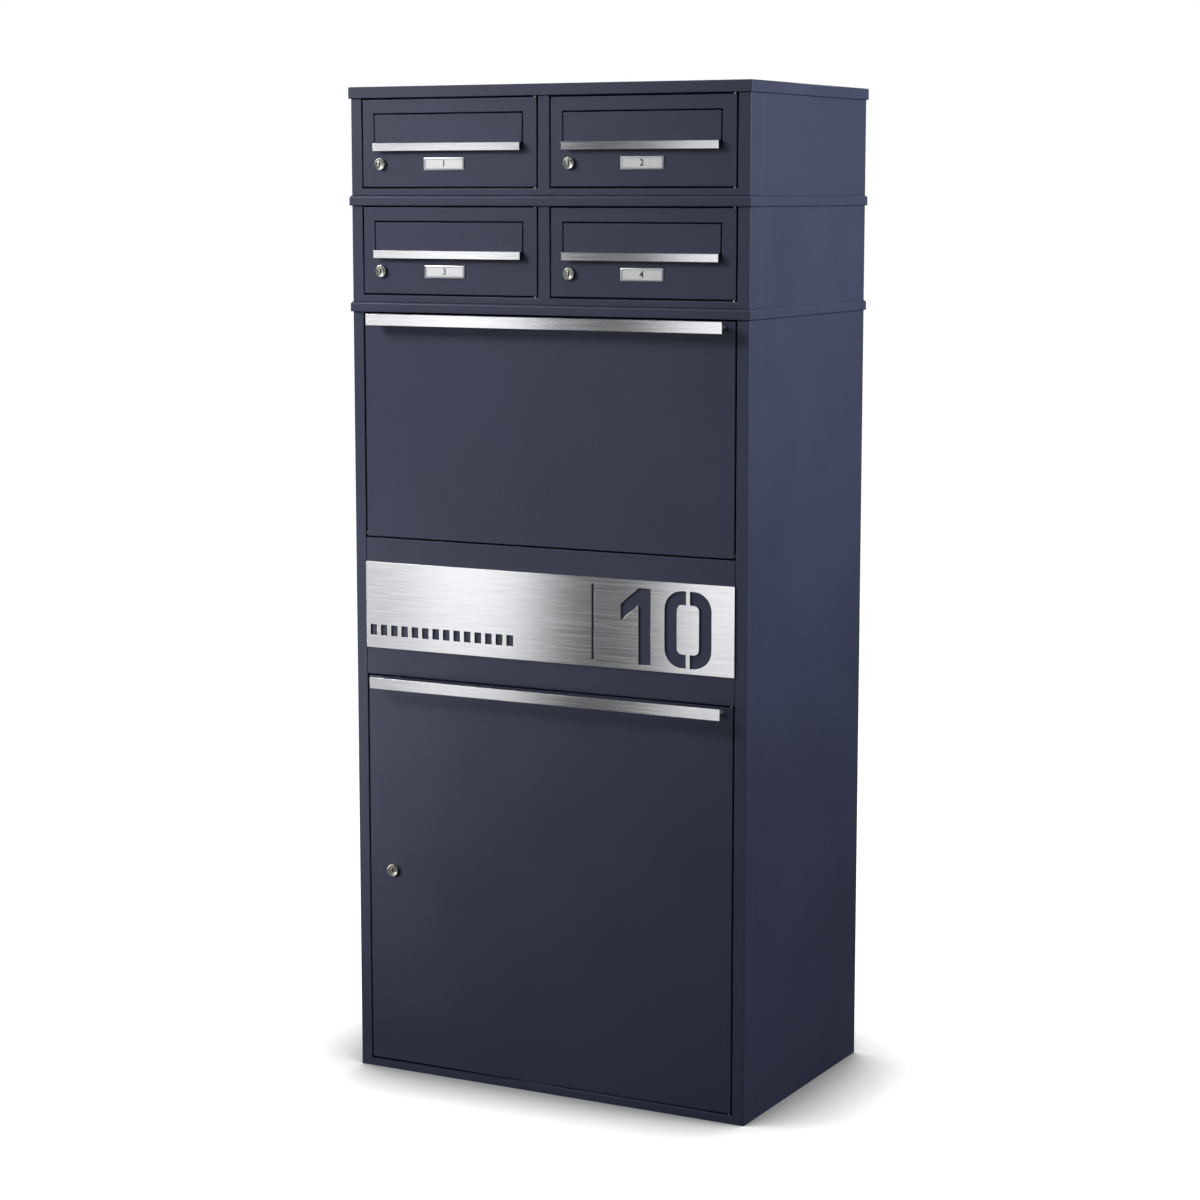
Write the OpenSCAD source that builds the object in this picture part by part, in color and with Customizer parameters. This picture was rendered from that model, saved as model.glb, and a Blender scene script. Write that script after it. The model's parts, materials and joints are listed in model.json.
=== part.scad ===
// Free-standing mailbox tower: two rows of two letterboxes over one parcel box.
// Millimetres, +Z up, front towards -Y. Origin: middle of the footprint at floor level.

/* [Body] */
// Width of the steel body, without the lid overhang
body_w = 700; // [560:10:820]
// Depth of the steel body, from its front face to its back
body_d = 440; // [380:10:520]
// Thickness of the body sheet
sheet = 1.5; // [1:0.25:1.75]
// How far the cap and the collars stand out past the body, on all four sides
overhang = 3; // [2.5:0.5:6]
// Outer radius of the folded vertical corners
bend_r = 2; // [1:0.5:3]

/* [Front frames] */
// Width of the outer stiles
stile_w = 20; // [17:1:40]
// Width of the mullion between the two columns of letterboxes
mullion_w = 20; // [16:1:40]
// Depth of the frames' returns along the sides of the body
frame_return = 43; // [36:1:80]
// Depth from the front face to the back of the door stop
rebate = 20; // [20:0.5:26]
// Width of the stop that the doors close against
stop_w = 12; // [6:1:14]
// Gap between a door or flap and its frame
gap = 2.5; // [2.25:0.25:4]

/* [Lower cabinet] */
// Height from the floor to the lower collar
cabinet_h = 1246; // [1200:5:1500]
// Height of the rail under the parcel door
bottom_rail = 13.5; // [8:0.5:40]
// Height of the parcel door
parcel_door_h = 641; // [500:1:680]
// Height of the fascia between parcel door and parcel flap
fascia_h = 223.5; // [180:0.5:260]
// Depth of the folded edge on top of the fascia
fascia_fold = 12; // [6:1:14]

/* [Letterbox rows] */
// Height of a row that shows between two collars
row_h = 152; // [146:1:220]
// Height of the rail under the letterbox doors
row_rail = 11; // [6:0.5:12]
// Height of a collar
collar_h = 16; // [10:0.5:30]
// Height of the top cap
cap_h = 18; // [12:0.5:40]
// Chamfer along the top edge of the collars
collar_chamfer = 2.5; // [0.5:0.25:2.5]
// Height of the sheet that keeps the letters in when a door is opened
letter_stop_h = 35; // [15:1:36]

/* [Doors] */
// Depth of the folded door pans
pan_d = 15; // [12:0.5:15]
// Thickness of the door sheet
door_sheet = 1.5; // [1:0.25:2]
// Width of the inner lip folded from the pans' edges
pan_lip = 10; // [4:1:12]
// Distance from the hinge axis to the door's edge
pivot_in = 4.5; // [4:0.25:6]
// Distance from the hinge axis to the door's face
pivot_back = 4; // [4:0.25:5]
// Radius of the hinge pins
pin_r = 2; // [1.5:0.25:2]
// Length of a hinge pin inside the door
pin_reach = 9; // [6:0.5:14]
// Radial clearance between a turning piece and what it turns in
running_fit = 0.05; // [0.02:0.01:0.08]

/* [Letter flaps] */
// Height of a letter flap
flap_h = 54.5; // [40:0.5:60]
// Distance from the door's left edge to the flap
flap_left = 22; // [20:0.5:24]
// Distance from the flap to the door's right edge
flap_right = 26; // [24:0.5:40]
// Distance from the door's lower edge to the flap
flap_z = 58; // [54:0.5:62]
// Thickness of the flap sheet
flap_sheet = 1.2; // [0.8:0.1:1.2]
// Gap around a letter flap
flap_gap = 2; // [1.5:0.25:3]
// Depth of the throat folded around the letter slot
throat_d = 10; // [8:0.5:14]
// Radius of the rod that a letter flap turns on
rod_r = 1.5; // [1:0.25:1.75]
// Distance from the flap's top edge down to its rod
rod_drop = 3; // [2.5:0.25:3]
// Distance from the flap's face back to its rod
rod_back = 3.5; // [3:0.25:3.5]

/* [Handle strips] */
// Height of the strips on the letter flaps
strip_h = 12.3; // [8:0.1:16]
// How far the letter flap strips stand out
strip_out = 8; // [6:0.5:14]
// Height of the strips on the parcel door and flap
bar_h = 18; // [12:0.5:30]
// How far the parcel strips stand out
bar_out = 20; // [12:0.5:20]
// Thickness of all handle strips
strip_t = 2; // [1.5:0.25:3]
// Distance from a parcel strip's end to the panel's edge
bar_margin = 13.5; // [13.5:0.5:40]
// Radius of the spacers behind the parcel strips
spacer_r = 4; // [3:0.5:6]

/* [Locks] */
// Distance from a door's left edge to the letterbox lock
lock_x = 32.5; // [28:0.5:34]
// Distance from a door's lower edge to the letterbox lock
lock_z = 35.5; // [33:0.5:38]
// Radius of the letterbox lock rosette
lock_r = 9.75; // [9:0.25:11]
// Radius of the parcel lock rosette
parcel_lock_r = 10.5; // [9:0.25:14]
// Distance from the parcel door's left edge to its lock
parcel_lock_x = 43.5; // [36:0.5:60]
// Distance from the parcel door's lower edge to its lock
parcel_lock_z = 320; // [250:5:400]
// Radius of the threaded lock barrel
barrel_r = 8; // [7.5:0.25:8.25]
// Radius of the turning plug
plug_r = 5.5; // [4.5:0.25:6]
// How far the locks stand out
lock_out = 4; // [2:0.5:6]
// How far a locked cam reaches behind the door stop
cam_hook = 10; // [4:0.5:11]

/* [Signs] */
// Width of the name plate holders
plate_w = 73; // [50:1:80]
// Height of the name plate holders
plate_h = 20; // [12:0.5:24]
// Thickness of the name plate holders
plate_t = 2; // [1.5:0.25:3]
// Sideways place of the name plates, from the middle of the left and right doors
plate_shift = [-8, 0];
// Height of the address plate
address_h = 140.5; // [120:0.5:160]
// Distance from the fascia's lower edge to the address plate
address_z = 44; // [20:0.5:60]
// Thickness of the address plate
address_t = 2; // [1.5:0.25:3]
// Height of the house number
digit_h = 119; // [80:1:119]
// Stroke width of the house number
stroke = 21; // [14:0.5:24]
// Distance from the house number to the plate's right end
number_right = 39; // [20:1:60]

/* [Parcel hopper] */
// Radius of the hopper's side cheeks around the flap hinge
hopper_r = 330; // [250:5:335]
// Length of the hopper's tray
tray_l = 300; // [220:5:325]
// How far the flap tilts open, which is also the slope of the closed tray
flap_open = 45; // [40:1:50]
// Distance from the hopper's cheeks to the frame opening
cheek_in = 20; // [18:1:40]

/* [Floor fixing] */
// Thickness of the floor plate
floor_t = 2; // [1.5:0.5:4]
// Radius of the anchor holes
anchor_r = 5.5; // [4:0.5:7]
// Distance from the body's sides to the anchor holes
anchor_side = 70; // [40:5:200]
// Distance from the body's front and back to the anchor holes
anchor_end = 70; // [70:5:120]

/* [Hidden] */
$fn = 48;

steel = "#3b404c";
stainless = "#c9c9c6";
zinc = "#a9abad";
nickel = "#b8b7b2";
rubber = "#a4a6a8";
label = "#e4e6e8";

hair = 0.3; // gap where two pieces of one body lie side by side
face = -body_d / 2;
back = body_d / 2;
half_w = body_w / 2;
inner_w = half_w - sheet;
open_x = half_w - stile_w;
joggle_w = 30;
flange_w = 16;

// Heights of the stacked modules: row 1 is the upper one
row_z = [cabinet_h + 2 * collar_h + row_h, cabinet_h + collar_h];
cap_z = row_z[0] + row_h;
total_h = cap_z + cap_h;
row_top = [total_h - sheet, row_z[0] - sheet];
cabinet_top = row_z[1] - sheet;
corner_in = 20; // the casing's joggle stops this far from the module's ends

// Parcel door, fascia and flap
parcel_door_z = bottom_rail + gap;
fascia_z = parcel_door_z + parcel_door_h + gap;
flap_base = fascia_z + fascia_h + gap;
parcel_flap_h = cabinet_h - gap - flap_base;
panel_x = open_x - gap;
pivot_y = face + pivot_back;
parcel_pivot_x = panel_x - pivot_in;
flap_pivot_z = flap_base + pivot_in;
fascia_d = rebate - sheet - hair;
boss_r = pivot_back - 0.4;
boss_l = pin_reach + 1;
pin_head_r = pivot_back - sheet - 0.1;
pin_head_h = 1.5;
pin_l = pin_head_h + sheet + gap + pin_reach;

// Letterbox doors: 1 and 2 above, 3 and 4 below, left before right
letter_door_w = open_x - mullion_w / 2 - 2 * gap;
flap_w = letter_door_w - flap_left - flap_right;
letter_door_h = row_h - row_rail - 2 * gap;
function column(i) = (i - 1) % 2;
function row(i) = floor((i - 1) / 2);
function door_x(i) = column(i) == 0 ? -open_x + gap : mullion_w / 2 + gap;
function door_z(i) = row_z[row(i)] + row_rail + gap;
function hinge_x(i) = door_x(i) + letter_door_w - pivot_in;
rod_y = face + rod_back;
function rod_z(i) = door_z(i) + flap_z + flap_h - rod_drop;
ear_d = rod_back + rod_r + 2;

// Locks, measured from a door's face
plug_back = rebate + 0.5;
barrel_back = plug_back - 0.5;
cam_t = 2;
cam_w = 12;
cam_past_edge = gap - stop_w + cam_hook; // how far a locked cam reaches past the door's edge
nut_r = barrel_r + 3;
nut_t = 4;
key_slot_w = 1.8;
key_slot_l = 7.5;

// Address plate: the house number's figures, and the dividing slot to the left of it
zero_x = 76;
zero_w = 80;
number_x = open_x - number_right - zero_x - zero_w;
divider_x = number_x - 51;

// Module bolts
bolt_r = 2.5;
bolt_hole_r = 2.8;
bolt_head_r = 4.5;
bolt_head_h = 3;
bolt_x = inner_w - flange_w / 2;
bolt_y = [face + frame_return + 60, back - 60];

module box(low, high) {
    translate(low) cube(high - low);
}

module rod_along_x(x, y, z, length, r) {
    translate([x, y, z]) rotate([0, 90, 0]) cylinder(h = length, r = r);
}

module rod_along_y(x, y, z, length, r) {
    translate([x, y, z]) rotate([-90, 0, 0]) cylinder(h = length, r = r);
}

// A flat outline drawn in X and Z, thickened from y towards the back
module plate_xz(y, t) {
    translate([0, y + t, 0]) rotate([90, 0, 0]) linear_extrude(t) children();
}

module both_sides() {
    children();
    mirror([1, 0, 0]) children();
}

// What a fold of radius bend_r leaves out of a square front corner
module fold_corner(z0, z1) {
    translate([half_w - bend_r, face + bend_r, z0])
        difference() {
            translate([0, -bend_r - 1, 0]) cube([bend_r + 1, bend_r + 1, z1 - z0]);
            translate([0, 0, -1]) cylinder(h = z1 - z0 + 2, r = bend_r);
        }
}

// Returns and stops around a frame opening; stops is [left, right, bottom, top]
module rebate_trim(x0, x1, z0, z1, stops) {
    stop_y = face + rebate - sheet;
    stop_back = face + rebate;
    box([x0 - sheet, face, z0 - sheet], [x0, stop_back, z1 + sheet]);
    box([x1, face, z0 - sheet], [x1 + sheet, stop_back, z1 + sheet]);
    box([x0, face, z0 - sheet], [x1, stop_back, z0]);
    box([x0, face, z1], [x1, stop_back, z1 + sheet]);
    if (stops[0]) box([x0 - sheet, stop_y, z0], [x0 + stop_w, stop_back, z1]);
    if (stops[1]) box([x1 - stop_w, stop_y, z0], [x1 + sheet, stop_back, z1]);
    if (stops[2]) box([x0, stop_y, z0 - sheet], [x1, stop_back, z0 + stop_w]);
    if (stops[3]) box([x0, stop_y, z1 - stop_w], [x1, stop_back, z1 + sheet]);
}

// The four module bolt holes through a sheet whose lower face is at z
module bolt_holes(z) {
    for (y = bolt_y)
        both_sides() translate([bolt_x, y, z - 1]) cylinder(h = sheet + 2, r = bolt_hole_r);
}

// Sides and back of a module, with bolting flanges at the ends that flanges = [low, high] names
module casing(z0, z1, flanges) {
    seam_y = face + frame_return + hair;
    difference() {
        union() {
            both_sides() {
                box([inner_w, seam_y, z0], [half_w, back, z1]);
                translate([inner_w - sheet, seam_y - joggle_w / 2, z0 + corner_in])
                    cube([sheet, joggle_w, z1 - z0 - 2 * corner_in]);
                if (flanges[0]) box([inner_w - flange_w, seam_y, z0], [half_w, back, z0 + sheet]);
                if (flanges[1]) box([inner_w - flange_w, seam_y, z1 - sheet], [half_w, back, z1]);
            }
            box([-half_w, back - sheet, z0], [half_w, back, z1]);
        }
        if (flanges[0]) bolt_holes(z0);
        if (flanges[1]) bolt_holes(z1 - sheet);
    }
}

// A shallow folded lid whose skirt covers the top of the module below it
module lid(z0, h, chamfer) {
    w = half_w + overhang;
    d = body_d / 2 + overhang;
    difference() {
        hull() {
            box([-w, -d, z0], [w, d, z0 + h - chamfer]);
            box([-w + chamfer, -d + chamfer, z0], [w - chamfer, d - chamfer, z0 + h]);
        }
        box([-w + sheet, -d + sheet, z0 - 1], [w - sheet, d - sheet, z0 + h - sheet]);
    }
}

module collar(n) {
    z0 = n == 1 ? row_z[0] - collar_h : cabinet_h;
    color(steel)
        difference() {
            lid(z0, collar_h, collar_chamfer);
            bolt_holes(z0 + collar_h - sheet);
        }
}

module top_cap() {
    stud_l = 12;
    color(steel) {
        lid(cap_z, cap_h, sheet);
        for (y = bolt_y)
            both_sides() translate([bolt_x, y, total_h - sheet - stud_l])
                cylinder(h = stud_l + sheet / 2, r = bolt_r);
    }
}

module row_frame(n) {
    z0 = row_z[n - 1];
    z1 = row_top[n - 1];
    low = z0 + row_rail;
    high = z0 + row_h;
    lefts = [-open_x, mullion_w / 2];
    rights = [-mullion_w / 2, open_x];
    color(steel)
        difference() {
            union() {
                difference() {
                    box([-half_w, face, z0], [half_w, face + sheet, z1]);
                    for (c = [0, 1]) box([lefts[c], face - 1, low], [rights[c], face + sheet + 1, high]);
                }
                both_sides() box([inner_w, face, z0], [half_w, face + frame_return, z1]);
                box([-inner_w, face, z0], [inner_w, face + rebate, z0 + sheet]);
                for (c = [0, 1]) rebate_trim(lefts[c], rights[c], low, high, [1, 1, 1, 1]);
            }
            both_sides() fold_corner(z0 - 1, z1 + 1);
            for (c = [0, 1])
                translate([rights[c] - gap - pivot_in, pivot_y, 0]) {
                    translate([0, 0, low - sheet - 1]) cylinder(h = sheet + 2, r = pin_r + running_fit);
                    translate([0, 0, high - 1]) cylinder(h = sheet + 2, r = pin_r + running_fit);
                }
        }
}

module row_casing(n) {
    color(steel) casing(row_z[n - 1], row_top[n - 1], [1, 1]);
}

// Upright sheet between two letterboxes, on a folded foot
module row_partition(n) {
    z0 = row_z[n - 1];
    foot_w = 14;
    half_t = sheet / 2;
    front = face + rebate + hair;
    color(steel) {
        box([-half_t, front, z0], [half_t, back - sheet, row_top[n - 1]]);
        box([-half_t, front + foot_w, z0], [half_t + foot_w, back - sheet, z0 + sheet]);
    }
}

// Four upright sheets behind the door openings, each on a folded foot
module letter_stops() {
    foot_w = 20;
    stop_front = face + plug_back + cam_t + 1.5;
    color(steel)
        for (i = [1:4]) {
            x0 = door_x(i) + stop_w;
            x1 = door_x(i) + letter_door_w - stop_w;
            z0 = row_z[row(i)];
            box([x0, stop_front, z0], [x1, stop_front + sheet, z0 + letter_stop_h]);
            box([x0, stop_front, z0], [x1, stop_front + foot_w, z0 + sheet]);
        }
}

module parcel_casing() {
    color(steel) casing(0, cabinet_top, [0, 1]);
}

module parcel_frame() {
    color(steel)
        difference() {
            union() {
                difference() {
                    box([-half_w, face, 0], [half_w, face + sheet, cabinet_top]);
                    box([-open_x, face - 1, bottom_rail], [open_x, face + sheet + 1, cabinet_h]);
                }
                both_sides() box([inner_w, face, 0], [half_w, face + frame_return, cabinet_top]);
                rebate_trim(-open_x, open_x, bottom_rail, cabinet_h, [1, 1, 1, 0]);
            }
            both_sides() fold_corner(-1, cabinet_top + 1);
            translate([parcel_pivot_x, pivot_y, bottom_rail - sheet - 1])
                cylinder(h = sheet + 2, r = pin_r + running_fit);
            both_sides() rod_along_x(open_x - 1, pivot_y, flap_pivot_z, sheet + 2, pin_r + running_fit);
        }
}

// Floor of the parcel box, with turned-up edges and four anchor holes
module floor_plate() {
    edge_h = 15;
    anchor_x = half_w - anchor_side;
    anchor_y = body_d / 2 - anchor_end;
    front = face + sheet;
    rear = back - sheet;
    color(steel)
        difference() {
            union() {
                box([-inner_w, front, 0], [inner_w, rear, floor_t]);
                both_sides() box([inner_w - sheet, face + rebate + 1, 0], [inner_w, rear, edge_h]);
                box([-inner_w, rear - sheet, 0], [inner_w, rear, edge_h]);
            }
            for (x = [-anchor_x, anchor_x])
                for (y = [-anchor_y, anchor_y])
                    translate([x, y, -1]) cylinder(h = floor_t + 2, r = anchor_r);
        }
}

module fascia_panel() {
    x1 = open_x - hair;
    z1 = fascia_z + fascia_h;
    deep = face + fascia_d;
    color(steel)
        difference() {
            union() {
                box([-x1, face, fascia_z], [x1, face + sheet, z1]);
                box([-x1, face, z1 - sheet], [x1, face + fascia_fold, z1]);
                box([-x1, face, fascia_z], [x1, deep, fascia_z + sheet]);
                box([-x1, deep - sheet, fascia_z - stop_w], [x1, deep, fascia_z + sheet]);
                both_sides() box([x1 - sheet, face, fascia_z], [x1, face + fascia_fold, z1]);
            }
            translate([parcel_pivot_x, pivot_y, fascia_z - 1])
                cylinder(h = sheet + 2, r = pin_r + running_fit);
        }
}

module round_rect(x, z, w, h, r) {
    translate([x, z]) {
        translate([r, 0]) square([w - 2 * r, h]);
        translate([0, r]) square([w, h - 2 * r]);
        for (cx = [r, w - r])
            for (cz = [r, h - r]) translate([cx, cz]) circle(r);
    }
}

// Stencil number ten, its lower left corner at the origin
module house_number() {
    one_w = 52;
    bridge = 7;
    outer_r = 30;
    flag = 26;
    translate([one_w - stroke, 0]) square([stroke, digit_h]);
    polygon([
        [one_w - stroke + 0.5, digit_h],
        [one_w - stroke + 0.5, digit_h - flag],
        [0, digit_h - 2 * flag],
        [0, digit_h - flag]
    ]);
    difference() {
        round_rect(zero_x, 0, zero_w, digit_h, outer_r);
        round_rect(zero_x + stroke, stroke, zero_w - 2 * stroke, digit_h - 2 * stroke, outer_r - stroke);
        translate([zero_x + zero_w / 2 - bridge / 2, -1]) square([bridge, digit_h + 2]);
    }
}

// Stainless plate with a cut-out number, a dividing slot and a plain row of slots
module address_plate() {
    z0 = fascia_z + address_z;
    divider_w = 4;
    slot_w = 12;
    slot_pitch = 19.5;
    slot_h = 17;
    slot_x = -open_x + 8;
    slot_z = 21;
    blank_w = 125; // what stays plain between the row and the dividing slot
    slot_count = floor((divider_x - slot_x - blank_w) / slot_pitch);
    color(stainless)
        plate_xz(face - address_t, address_t)
            difference() {
                translate([-open_x + hair, z0]) square([2 * (open_x - hair), address_h]);
                translate([number_x, z0 + (address_h - digit_h) / 2 - 2]) house_number();
                translate([divider_x, z0 + (address_h - digit_h) / 2]) square([divider_w, digit_h]);
                for (k = [0:slot_count - 1])
                    translate([slot_x + k * slot_pitch, z0 + slot_z]) square([slot_w, slot_h]);
            }
}

// Headed pin that stands on a flange at z and points up (way = 1) or down (way = -1)
module hinge_pin(x, z, way) {
    translate([x, pivot_y, z])
        mirror([0, 0, way > 0 ? 0 : 1])
            translate([0, 0, -sheet - pin_head_h]) {
                cylinder(h = pin_head_h, r = pin_head_r);
                cylinder(h = pin_l, r = pin_r);
            }
}

module letter_hinge_pins() {
    color(zinc)
        for (i = [1:4]) {
            hinge_pin(hinge_x(i), door_z(i) - gap, 1);
            hinge_pin(hinge_x(i), door_z(i) + letter_door_h + gap, -1);
        }
}

module parcel_hinge_pins() {
    color(zinc) {
        hinge_pin(parcel_pivot_x, parcel_door_z - gap, 1);
        hinge_pin(parcel_pivot_x, parcel_door_z + parcel_door_h + gap, -1);
    }
}

module flap_pivot_pins() {
    color(zinc)
        both_sides() {
            rod_along_x(panel_x - pin_reach, pivot_y, flap_pivot_z, pin_l, pin_r);
            rod_along_x(open_x + sheet, pivot_y, flap_pivot_z, pin_head_h, pin_head_r);
        }
}

// Bolts that join the modules, and the nuts on the cap's studs
module module_bolts() {
    nut_h = 4;
    color(zinc)
        for (y = bolt_y)
            both_sides() translate([bolt_x, y, 0]) {
                for (z = row_z) {
                    translate([0, 0, z + sheet]) cylinder(h = bolt_head_h, r = bolt_head_r);
                    translate([0, 0, z - 2 * sheet - nut_h - 1])
                        cylinder(h = 3 * sheet + nut_h + 2, r = bolt_r);
                    translate([0, 0, z - 2 * sheet - nut_h]) cylinder(h = nut_h, r = bolt_head_r, $fn = 6);
                }
                translate([0, 0, total_h - 2 * sheet - nut_h])
                    difference() {
                        cylinder(h = nut_h, r = bolt_head_r, $fn = 6);
                        translate([0, 0, -1]) cylinder(h = nut_h + 2, r = bolt_r);
                    }
            }
}

// Folded door pan: face, four edges and an inner lip, its lower left corner at x, z
module pan(x, z, w, h) {
    t = door_sheet;
    rear = face + pan_d;
    difference() {
        box([x, face, z], [x + w, rear, z + h]);
        box([x + t, face + t, z + t], [x + w - t, rear - t, z + h - t]);
        box([x + pan_lip, face + t, z + pan_lip], [x + w - pan_lip, rear + 1, z + h - pan_lip]);
    }
}

// Blocks in the pan's hinge corners that the pins turn in
module hinge_blocks(x, z, h) {
    for (b = [z + 0.5, z + h - boss_l - 0.5]) translate([x, pivot_y, b]) cylinder(h = boss_l, r = boss_r);
}

module hinge_bores(x, z, h) {
    for (b = [z - 1, z + h - pin_reach - 0.5])
        translate([x, pivot_y, b]) cylinder(h = pin_reach + 1.5, r = pin_r + running_fit);
}

module letter_door(i) {
    x = door_x(i);
    z = door_z(i);
    fx0 = x + flap_left - flap_gap;
    fx1 = x + flap_left + flap_w + flap_gap;
    fz0 = z + flap_z - flap_gap;
    fz1 = z + flap_z + flap_h + flap_gap;
    t = door_sheet;
    stop_y = face + flap_sheet + hair;
    stop_z = fz0 + flap_gap + 4;
    color(steel)
        difference() {
            union() {
                pan(x, z, letter_door_w, letter_door_h);
                box([fx0 - t, face, fz0 - t], [fx1 + t, face + throat_d, fz1 + t]);
                hinge_blocks(hinge_x(i), z, letter_door_h);
            }
            difference() {
                box([fx0, face - 1, fz0], [fx1, face + throat_d + 1, fz1]);
                box([fx0 - 1, stop_y, fz0 - 1], [fx1 + 1, stop_y + t, stop_z]);
            }
            rod_along_x(fx0 - t - 1, rod_y, rod_z(i), fx1 - fx0 + 2 * t + 2, rod_r + running_fit);
            rod_along_y(x + lock_x, face - 1, z + lock_z, t + 2, barrel_r + running_fit);
            hinge_bores(hinge_x(i), z, letter_door_h);
        }
}

module flap_rod(i) {
    x = door_x(i) + flap_left - flap_gap - door_sheet - 1;
    color(zinc) rod_along_x(x, rod_y, rod_z(i), flap_w + 2 * (flap_gap + door_sheet + 1), rod_r);
}

// Flap sheet with two folded ears that turn on the rod
module letter_flap(i) {
    x = door_x(i) + flap_left;
    z = door_z(i) + flap_z;
    ear_h = 2 * rod_drop + 4;
    top = z + flap_h;
    color(steel)
        difference() {
            union() {
                box([x, face, z], [x + flap_w, face + flap_sheet, top]);
                for (ex = [x, x + flap_w - flap_sheet])
                    box([ex, face, top - ear_h], [ex + flap_sheet, face + ear_d, top - 0.5]);
            }
            rod_along_x(x - 1, rod_y, rod_z(i), flap_w + 2, rod_r + running_fit);
        }
}

// Angle strip: an upright face carried by a thin shelf along its top
module flap_handle(i) {
    x = door_x(i) + flap_left;
    z = door_z(i) + flap_z - flap_gap;
    color(stainless) {
        box([x, face - strip_out, z], [x + flap_w, face - strip_out + strip_t, z + strip_h]);
        box([x, face - strip_out, z + strip_h - strip_t], [x + flap_w, face, z + strip_h]);
    }
}

// Rosette, threaded barrel and, as its own solid, the nut behind the door sheet
module lock_housing_at(x, z, rosette_r, back_y) {
    bore_r = plug_r + running_fit;
    color(nickel) {
        difference() {
            union() {
                rod_along_y(x, face - lock_out + 1, z, lock_out - 1, rosette_r);
                rod_along_y(x, face - lock_out, z, 1, rosette_r - 1);
                rod_along_y(x, face - lock_out + 1, z, lock_out - 1 + back_y, barrel_r);
            }
            rod_along_y(x, face - lock_out - 1, z, lock_out + back_y + 2, bore_r);
        }
        difference() {
            translate([x, face + door_sheet, z]) rotate([-90, 0, 0]) cylinder(h = nut_t, r = nut_r, $fn = 6);
            rod_along_y(x, face + door_sheet - 1, z, nut_t + 2, barrel_r + running_fit);
        }
    }
}

module lock_plug_at(x, z) {
    proud = lock_out - 0.5;
    color(nickel)
        difference() {
            rod_along_y(x, face - proud, z, proud + plug_back, plug_r);
            translate([x - key_slot_w / 2, face - proud - 1, z - key_slot_l / 2])
                cube([key_slot_w, proud + 5, key_slot_l]);
        }
}

// Cam bar that points up when unlocked, with its fixing screw head
module lock_cam_at(x, z, reach) {
    y = face + plug_back;
    color(zinc) {
        rod_along_y(x, y, z, cam_t, cam_w / 2 + 1);
        box([x - cam_w / 2, y, z], [x + cam_w / 2, y + cam_t, z + reach]);
        rod_along_y(x, y + cam_t - 0.5, z, 2, 3.5);
    }
}

module name_plate(i) {
    rim = 3;
    recess = 0.8;
    x = door_x(i) + letter_door_w / 2 + plate_shift[column(i)] - plate_w / 2;
    z = door_z(i) + lock_z - plate_h / 2;
    y = face - plate_t;
    color(label)
        difference() {
            box([x, y, z], [x + plate_w, face, z + plate_h]);
            box([x + rim, y - 1, z + rim], [x + plate_w - rim, y + recess, z + plate_h - rim]);
        }
}

module parcel_door() {
    color(steel)
        difference() {
            union() {
                pan(-panel_x, parcel_door_z, 2 * panel_x, parcel_door_h);
                hinge_blocks(parcel_pivot_x, parcel_door_z, parcel_door_h);
            }
            rod_along_y(-panel_x + parcel_lock_x, face - 1, parcel_door_z + parcel_lock_z,
                door_sheet + 2, barrel_r + running_fit);
            hinge_bores(parcel_pivot_x, parcel_door_z, parcel_door_h);
        }
}

// Small pads on the door's edges that keep it off the frame
module parcel_door_buffers() {
    pad_r = 3.5;
    pad_h = gap - 1;
    inset = 50;
    y = face + 7;
    top = parcel_door_z + parcel_door_h;
    color(rubber) {
        translate([-panel_x + inset, y, top]) cylinder(h = pad_h, r = pad_r);
        translate([-panel_x + inset, y, parcel_door_z - pad_h]) cylinder(h = pad_h, r = pad_r);
        translate([panel_x - inset, y, parcel_door_z - pad_h]) cylinder(h = pad_h, r = pad_r);
    }
}

// Flat strip on spacers, its top level with the panel's top edge at z
module handle_bar(z) {
    x1 = panel_x - bar_margin;
    spacer_x = [x1 - 8, x1 / 3];
    color(stainless) {
        box([-x1, face - bar_out, z - bar_h], [x1, face - bar_out + strip_t, z]);
        both_sides()
            for (x = spacer_x)
                rod_along_y(x, face - bar_out + strip_t / 2, z - bar_h / 2, bar_out - strip_t / 2, spacer_r);
    }
}

module parcel_flap() {
    color(steel)
        difference() {
            union() {
                pan(-panel_x, flap_base, 2 * panel_x, parcel_flap_h);
                both_sides() rod_along_x(panel_x - boss_l - 0.5, pivot_y, flap_pivot_z, boss_l, boss_r);
            }
            both_sides()
                rod_along_x(panel_x - pin_reach - 0.5, pivot_y, flap_pivot_z,
                    pin_reach + 1.5, pin_r + running_fit);
        }
}

// Cheeks and sloping tray that carry a parcel in as the flap closes
module parcel_hopper() {
    cheek_x = open_x - cheek_in;
    rear = face + pan_d;
    tab_w = 12;
    t = door_sheet;
    tab_low = flap_pivot_z + 10;
    tray_z = flap_base + door_sheet + 1;
    cheek_top = flap_pivot_z + hopper_r;
    color(steel) {
        both_sides() {
            intersection() {
                rod_along_x(cheek_x - t, pivot_y, flap_pivot_z, t, hopper_r);
                translate([cheek_x - t - 1, 0, 0]) rotate([90, 0, 90]) linear_extrude(t + 2)
                    polygon([
                        [rear, cheek_top],
                        [rear, tray_z],
                        [rear + tray_l * cos(flap_open), tray_z - tray_l * sin(flap_open)],
                        [rear + 2 * hopper_r, tray_z],
                        [rear + 2 * hopper_r, cheek_top]
                    ]);
            }
            box([cheek_x - t, rear, tab_low], [cheek_x + tab_w, rear + t, cheek_top - 20]);
        }
        box([-cheek_x, rear, tray_z], [cheek_x, rear + t, tray_z + tab_w]);
        translate([-cheek_x, rear, tray_z]) rotate([-flap_open, 0, 0]) cube([2 * cheek_x, tray_l, t]);
    }
}

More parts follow.
